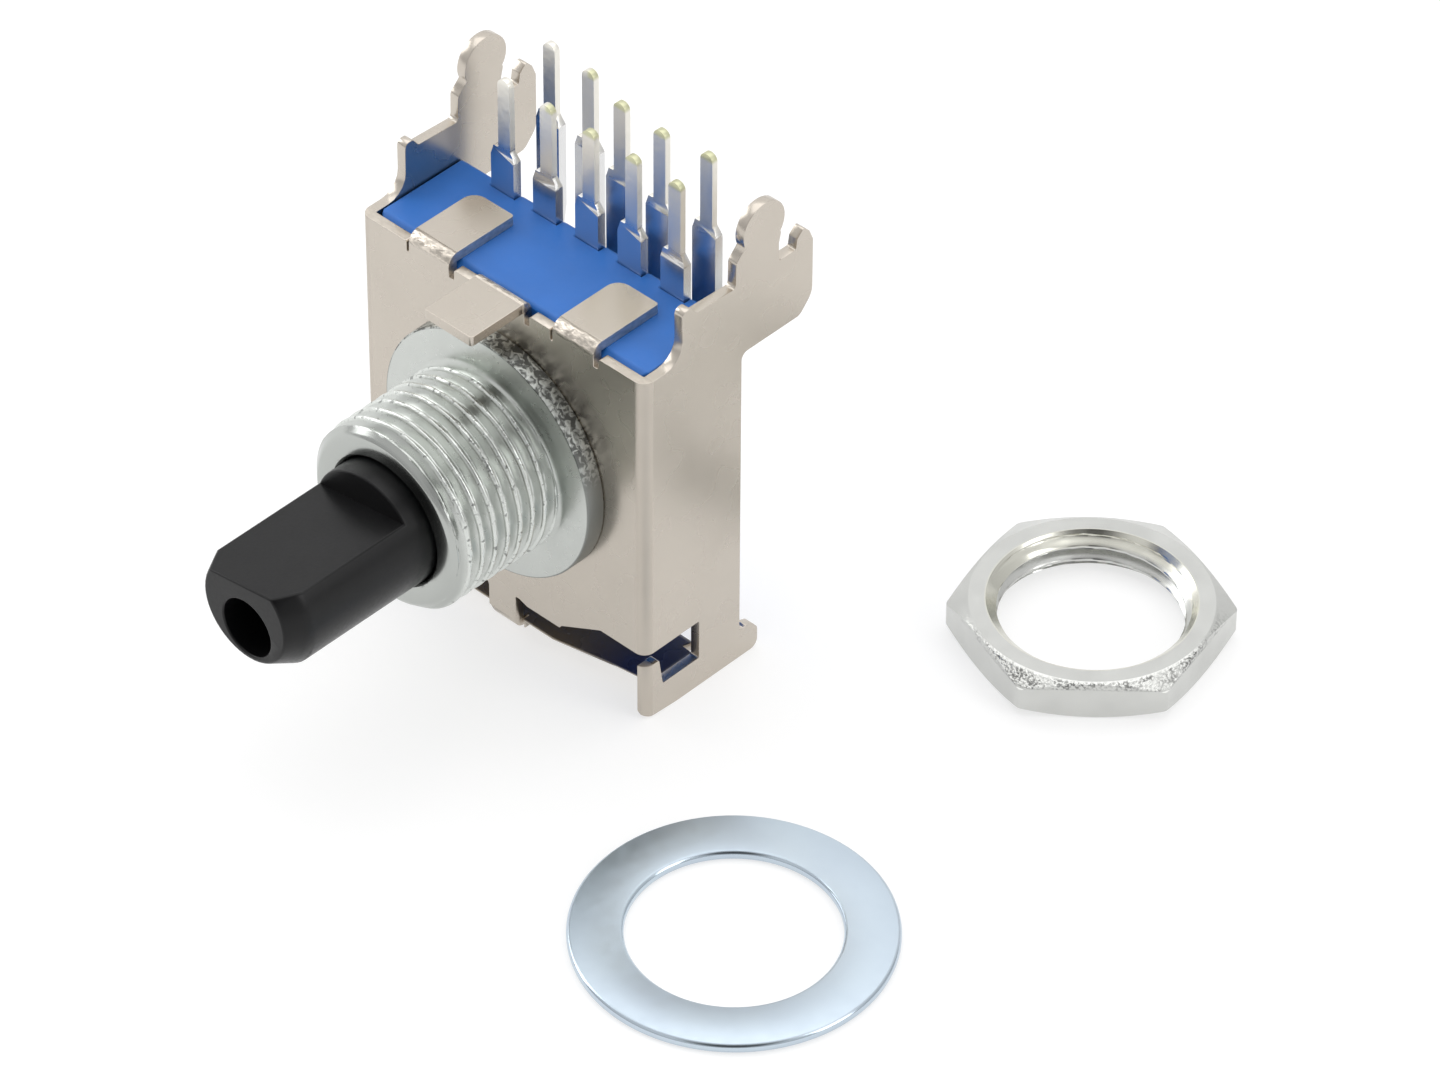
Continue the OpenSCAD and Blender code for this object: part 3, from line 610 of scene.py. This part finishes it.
class SWITCH_OT_stage(bpy.types.Operator):
    """Table, soft studio light and camera"""

    bl_idname = "switch.stage"
    bl_label = "Stage"

    def execute(self, context):
        self.table()
        self.world()
        self.lamps()
        self.camera()
        context.scene.view_settings.view_transform = "Standard"
        return {"FINISHED"}

    def table(self):
        bm = bmesh.new()
        half, back, rise, bend, steps = 0.9, 0.7, 0.9, 0.3, 10
        rows = [(-half, 0.0), (0.2, 0.0), (back - bend, 0.0)]
        rows += [(back - bend + bend * math.sin(a), bend - bend * math.cos(a))
                 for a in (math.pi / 2 * k / steps for k in range(1, steps + 1))]
        rows.append((back, rise))
        turn = Matrix.Rotation(math.radians(43), 4, "Z")
        pairs = [[bm.verts.new(turn @ Vector((x, y, z + FLOOR_Z))) for x in (-half, half)]
                 for y, z in rows]
        for a, b in zip(pairs, pairs[1:]):
            bm.faces.new((a[0], a[1], b[1], b[0]))
        mesh = bpy.data.meshes.new("table")
        bm.to_mesh(mesh)
        bm.free()
        for polygon in mesh.polygons:
            polygon.use_smooth = True
        table = bpy.data.objects.new("table", mesh)
        bpy.context.scene.collection.objects.link(table)
        base = tuple(colours().floor)
        f = Finish("white_table", base, 0.0, 0.7)
        f.shader.inputs["Specular IOR Level"].default_value = 0.1
        shown = seen(f.nodes, f.links)
        f.tinted(shown, base, shade(base, TABLE_LIT))
        f.shader.inputs["Emission Color"].default_value = (1, 1, 1, 1)
        f.links.new(f.math("MULTIPLY", shown, TABLE_GLOW), f.shader.inputs["Emission Strength"])
        mesh.materials.append(f.material)

    def world(self):
        world = bpy.data.worlds.new("studio")
        bpy.context.scene.world = world
        world.use_nodes = True
        nodes, links = world.node_tree.nodes, world.node_tree.links
        background = nodes["Background"]
        coordinates = nodes.new("ShaderNodeTexCoord")
        split = nodes.new("ShaderNodeSeparateXYZ")
        links.new(coordinates.outputs["Generated"], split.inputs["Vector"])
        ramp_node = nodes.new("ShaderNodeValToRGB")
        ramp_node.color_ramp.elements[0].position = 0.35
        ramp_node.color_ramp.elements[0].color = (0.48, 0.48, 0.49, 1)
        ramp_node.color_ramp.elements[1].position = 0.8
        ramp_node.color_ramp.elements[1].color = (0.98, 0.98, 0.98, 1)
        spread = nodes.new("ShaderNodeMapRange")
        spread.inputs["From Min"].default_value = -1
        links.new(split.outputs["Z"], spread.inputs["Value"])
        links.new(spread.outputs["Result"], ramp_node.inputs["Fac"])
        links.new(ramp_node.outputs["Color"], background.inputs["Color"])
        # one side of the room is dark
        toward = nodes.new("ShaderNodeVectorMath")
        toward.operation = "DOT_PRODUCT"
        toward.inputs[1].default_value = (0.518, -0.549, 0.656)
        links.new(coordinates.outputs["Generated"], toward.inputs[0])
        dark = nodes.new("ShaderNodeMapRange")
        dark.inputs["From Min"].default_value = 0.86
        dark.inputs["From Max"].default_value = 0.97
        dark.inputs["To Min"].default_value = 0.82
        dark.inputs["To Max"].default_value = 0.10
        links.new(toward.outputs["Value"], dark.inputs["Value"])
        links.new(dark.outputs["Result"], background.inputs["Strength"])

    def lamps(self):
        def lamp(name, place, size, power, target=(0.005, 0.0, 0.0)):
            data = bpy.data.lights.new(name, "AREA")
            data.shape = "RECTANGLE"
            data.size, data.size_y = size
            data.energy = power
            lamp = bpy.data.objects.new(name, data)
            bpy.context.scene.collection.objects.link(lamp)
            lamp.location = place
            lamp.rotation_mode = "QUATERNION"
            lamp.rotation_quaternion = (Vector(target) - Vector(place)).to_track_quat("-Z", "Y")

        lamp("softbox_above", (-0.05, 0.10, 0.45), (0.54, 0.42), 0.68)
        lamp("softbox_left", (-0.38, -0.12, 0.20), (0.25, 0.30), 0.55)
        lamp("softbox_right", (0.40, 0.12, 0.22), (0.20, 0.30), 0.35)
        lamp("softbox_behind", (-0.27, 0.30, 0.35), (0.60, 0.50), 0.17)

    def camera(self):
        azimuth, elevation, roll = (math.radians(a) for a in (43.28, 40.97, 0.37))
        back = Vector((math.sin(azimuth) * math.cos(elevation),
                       -math.cos(azimuth) * math.cos(elevation), math.sin(elevation)))
        right = Vector((math.cos(azimuth), math.sin(azimuth), 0))
        up = back.cross(right)
        target = right * 9.288 * MM + up * -4.089 * MM
        turned_right = right * math.cos(roll) + up * math.sin(roll)
        turned_up = up * math.cos(roll) - right * math.sin(roll)
        data = bpy.data.cameras.new("camera")
        data.sensor_width = 36
        data.lens = 200.74
        data.clip_start, data.clip_end = 0.01, 10
        camera = bpy.data.objects.new("camera", data)
        bpy.context.scene.collection.objects.link(camera)
        place = Matrix((turned_right, turned_up, back)).transposed().to_4x4()
        place.translation = target + back * 341.9 * MM
        camera.matrix_world = place
        bpy.context.scene.camera = camera


def on_a_tab(point, low, high=math.inf):
    """Whether a point lies on one of the two tabs over the case, between two heights."""
    return low < point.z < high and TAB_Y[0] < point.y < TAB_Y[1] and abs(point.x) < TAB_X


class SWITCH_OT_sheet(bpy.types.Operator):
    """Folded sheet frame with its stamped edges"""

    bl_idname = "switch.sheet"
    bl_label = "Folded frame"

    def execute(self, context):
        def rolled(edge):
            """The upper rim of a tab."""
            return all(on_a_tab(v.co, TAB_TOP - 0.04 * MM) for v in edge.verts)

        mesh = eased("frame", sizes().sheet_edge, wide=(rolled, sizes().tab_edge), fine=True)
        new_piece("folded_frame", mesh, nickel_sheet, HOUSING, ["frame"])
        # the tabs over the case show their sheared sides
        mesh.materials.append(finish(sheared_edge))
        for polygon in mesh.polygons:
            sideways = abs(polygon.normal.x) > 0.5
            if sideways and on_a_tab(polygon.center, TAB_TOP - SHEET_T, TAB_TOP):
                polygon.material_index = 1
        return {"FINISHED"}


class SWITCH_OT_bushing(bpy.types.Operator):
    """Die-cast bushing with its fine thread"""

    bl_idname = "switch.bushing"
    bl_label = "Threaded bushing"

    def execute(self, context):
        low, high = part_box("bushing")
        reach = -low.y
        crest = THREAD_R
        flange_r = (high.x - low.x) / 2
        bore = BORE_R
        pitch, depth, n = sizes().thread_pitch, sizes().thread_depth, sizes().around
        flange, back = BUSHING_FLANGE_T, -high.y
        angles = round_angles(n)

        def ring(r, s):
            return circle(r, s, n)

        rows = [ring(bore, back), ring(4.25 * MM, back), ring(STAKE_R, back + 0.2 * MM),
                ring(STAKE_R, -SHEET_T), ring(BOSS_R, -SHEET_T), ring(BOSS_R, 0),
                ring(flange_r - 0.06 * MM, 0), ring(flange_r, 0.06 * MM),
                ring(flange_r, flange - 0.09 * MM), ring(flange_r - 0.026 * MM, flange - 0.026 * MM),
                ring(flange_r - 0.09 * MM, flange),
                ring(4.62 * MM, flange), ring(4.45 * MM, flange + 0.03 * MM),
                ring(4.36 * MM, flange + 0.1 * MM)]
        start, end = flange + 0.14 * MM, reach - 0.1 * MM
        count = int((end - start) / pitch * 24)
        for j in range(count + 1):
            s = start + (end - start) * j / count
            rise = ramp(s, start, start + 0.12 * MM)
            limit = crest - 0.42 * MM * ramp(s, reach - 0.45 * MM, reach - 0.05 * MM)
            radii = []
            for i, a in enumerate(angles):
                # rolled crests wander a little
                wander = 0.02 * math.sin(5 * a + 9 * s / MM) + 0.015 * math.sin(13 * a - 7 * s / MM)
                form = thread_form(s / pitch + i / n + wander)
                r = crest - depth * (1 - form)
                r = min(r, crest - 0.14 * MM * (1 - rise))
                radii.append(min(r, limit))
            rows.append((radii, [s] * n))
        mouth = crest - 0.46 * MM
        rows += [ring(mouth - 0.03 * MM, reach - 0.02 * MM), ring(mouth - 0.08 * MM, reach),
                 ring(bore + 0.17 * MM, reach), ring(bore + 0.13 * MM, reach - 0.02 * MM),
                 ring(bore + 0.02 * MM, reach - 0.13 * MM), ring(bore, reach - 0.17 * MM)]
        mesh = lathe(rows, angles, Vector((0, 0, 0)), (0, -1, 0))
        soften(mesh, 38)
        new_piece("threaded_bushing", mesh, zinc_casting, HOUSING, ["bushing"])
        return {"FINISHED"}


class SWITCH_OT_shaft(bpy.types.Operator):
    """Moulded D-shaft"""

    bl_idname = "switch.shaft"
    bl_label = "Shaft"

    def execute(self, context):
        mesh = eased("shaft", sizes().moulded_edge, angle=30, segments=3)
        new_piece("d_shaft", mesh, black_plastic, ROTOR, ["shaft"])
        return {"FINISHED"}


class SWITCH_OT_case(bpy.types.Operator):
    """Blue case and contact wafers"""

    bl_idname = "switch.case"
    bl_label = "Case and wafers"

    def execute(self, context):
        for node in ("front_case", "wafer_front", "rear_case", "wafer_rear"):
            mesh = eased(node, sizes().moulded_edge)
            new_piece(node + "_moulding", mesh, blue_plastic, HOUSING, [node])
        return {"FINISHED"}


class SWITCH_OT_terminals(bpy.types.Operator):
    """Both rows of stamped terminals"""

    bl_idname = "switch.terminals"
    bl_label = "Terminals"

    def execute(self, context):
        for row in ("front", "rear"):
            for number in range(1, 6):
                node = f"terminal_{row}_{number}"
                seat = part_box(node)[1].z - 3.7 * MM

                def upright(edge):
                    """An edge that runs up the solder pin."""
                    a, b = (v.co for v in edge.verts)
                    return min(a.z, b.z) > seat and abs(a.z - b.z) > 0.7 * (a - b).length

                mesh = eased(node, sizes().terminal_edge, wide=(upright, sizes().pin_edge))
                new_piece(f"{row}_pin_{number}", mesh, tin_plate, HOUSING,
                          [node])
        return {"FINISHED"}


class SWITCH_OT_works(bpy.types.Operator):
    """Finishes of the click spring, the carriers and the wipers inside"""

    bl_idname = "switch.works"
    bl_label = "Inner works"

    def execute(self, context):
        makers = {"detent_spring": spring_bronze, "wiper_front": spring_bronze,
                  "wiper_rear": spring_bronze, "rotor_front": ivory_plastic,
                  "rotor_rear": ivory_plastic}
        for node, maker in makers.items():
            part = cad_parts[node]
            for slot in part.material_slots:
                slot.material = finish(maker)
            if not part.material_slots:
                raise RuntimeError(f"{node} has no material slot")
        return {"FINISHED"}


class SWITCH_OT_nut(bpy.types.Operator):
    """Hexagon nut with its inner thread"""

    bl_idname = "switch.nut"
    bl_label = "Mounting nut"

    def execute(self, context):
        low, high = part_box("mounting_nut")
        centre = Vector(((low.x + high.x) / 2, (low.y + high.y) / 2, low.z))
        tall = high.z - low.z
        pitch = sizes().thread_pitch
        turn, flat, corner = NUT_TURN, NUT_FLAT_R, 0.3 * MM
        minor, major = THREAD_MINOR_R, THREAD_R
        at = (flat - corner) / math.cos(math.pi / 6)
        near = [math.radians(d) for d in (-1.6, -1.1, -0.55, 0, 0.55, 1.1, 1.6)]
        between = [math.radians(d) for d in range(3, 58, 1)]
        angles = [turn + math.pi / 3 * k + a for k in range(6) for a in near + between]
        n = len(angles)

        def hexagon(a):
            """The outline, with each corner rounded."""
            off = (a - turn + math.pi / 6) % (math.pi / 3) - math.pi / 6
            inside = corner ** 2 - (at * math.sin(off)) ** 2
            if inside > 0 and abs(off) < math.radians(1.5):
                return at * math.cos(off) + math.sqrt(inside)
            return flat / math.cos(math.pi / 6 - abs(off))

        outline = [hexagon(a) for a in angles]
        face_r = flat - 0.12 * MM

        def inside(z):
            edge = min(z, tall - z)
            mouth = major + 0.12 * MM - edge
            return [max(minor + (major - minor)
                        * (1 - thread_form(z / pitch - a / (2 * math.pi))), mouth)
                    for a in angles]

        slope = 0.5
        drop = [slope * (r - face_r) for r in outline]
        rows = [circle(face_r, 0, n), (outline, drop),
                (outline, [tall - d for d in drop]), circle(face_r, tall, n)]
        steps = int(tall / pitch * 28)
        for j in range(steps, -1, -1):
            z = tall * j / steps
            rows.append((inside(z), [z] * n))
        mesh = lathe(rows, angles, centre, (0, 0, 1))
        soften(mesh, 24)
        new_piece("hexagon_nut", mesh, bright_nut, HOUSING, ["mounting_nut"])
        return {"FINISHED"}


class SWITCH_OT_washer(bpy.types.Operator):
    """Flat washer with its punched rims"""

    bl_idname = "switch.washer"
    bl_label = "Washer"

    def execute(self, context):
        low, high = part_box("washer")
        centre = Vector(((low.x + high.x) / 2, (low.y + high.y) / 2, low.z))
        outer, thick, n = (high.x - low.x) / 2, high.z - low.z, 200
        hole, edge = WASHER_HOLE_R, sizes().washer_edge

        def rim(r, z, way, up, flip):
            """A broken edge from the wall to the face, or back."""
            steps = [(0, 1), (0.1, 0.66), (0.66, 0.1), (1, 0)]
            return [circle(r - way * edge * a, z - up * edge * b, n)
                    for a, b in (reversed(steps) if flip else steps)]

        rows = (rim(outer, 0, 1, -1, True) + rim(outer, thick, 1, 1, False)
                + rim(hole, thick, -1, 1, True) + rim(hole, 0, -1, -1, False))
        mesh = lathe(rows, round_angles(n), centre, (0, 0, 1))
        soften(mesh, 40)
        new_piece("flat_washer", mesh, zinc_washer, HOUSING, ["washer"])
        return {"FINISHED"}


class SWITCH_PT_panel(bpy.types.Panel):
    """The switch's sizes, colours and steps"""

    bl_idname = "SWITCH_PT_panel"
    bl_label = "Rotary Switch"
    bl_space_type = "VIEW_3D"
    bl_region_type = "UI"
    bl_category = "Rotary Switch"

    def draw(self, context):
        for group in (context.scene.switch_sizes, context.scene.switch_colours):
            box = self.layout.box()
            for name in group.__annotations__:
                box.prop(group, name)
        for step in STEPS:
            self.layout.operator(step.bl_idname)


STEPS = (SWITCH_OT_stage, SWITCH_OT_sheet, SWITCH_OT_bushing, SWITCH_OT_shaft, SWITCH_OT_case,
         SWITCH_OT_terminals, SWITCH_OT_works, SWITCH_OT_nut, SWITCH_OT_washer)
CLASSES = (SwitchSizes, SwitchColours, *STEPS, SWITCH_PT_panel)


def register():
    for cls in CLASSES:
        bpy.utils.register_class(cls)
    bpy.types.Scene.switch_sizes = bpy.props.PointerProperty(type=SwitchSizes)
    bpy.types.Scene.switch_colours = bpy.props.PointerProperty(type=SwitchColours)


def unregister():
    del bpy.types.Scene.switch_colours
    del bpy.types.Scene.switch_sizes
    for cls in reversed(CLASSES):
        bpy.utils.unregister_class(cls)


def main():
    register()
    for step in STEPS:
        group, name = step.bl_idname.split(".")
        getattr(getattr(bpy.ops, group), name)()
    bpy.context.view_layer.update()


if __name__ == "__main__":
    main()
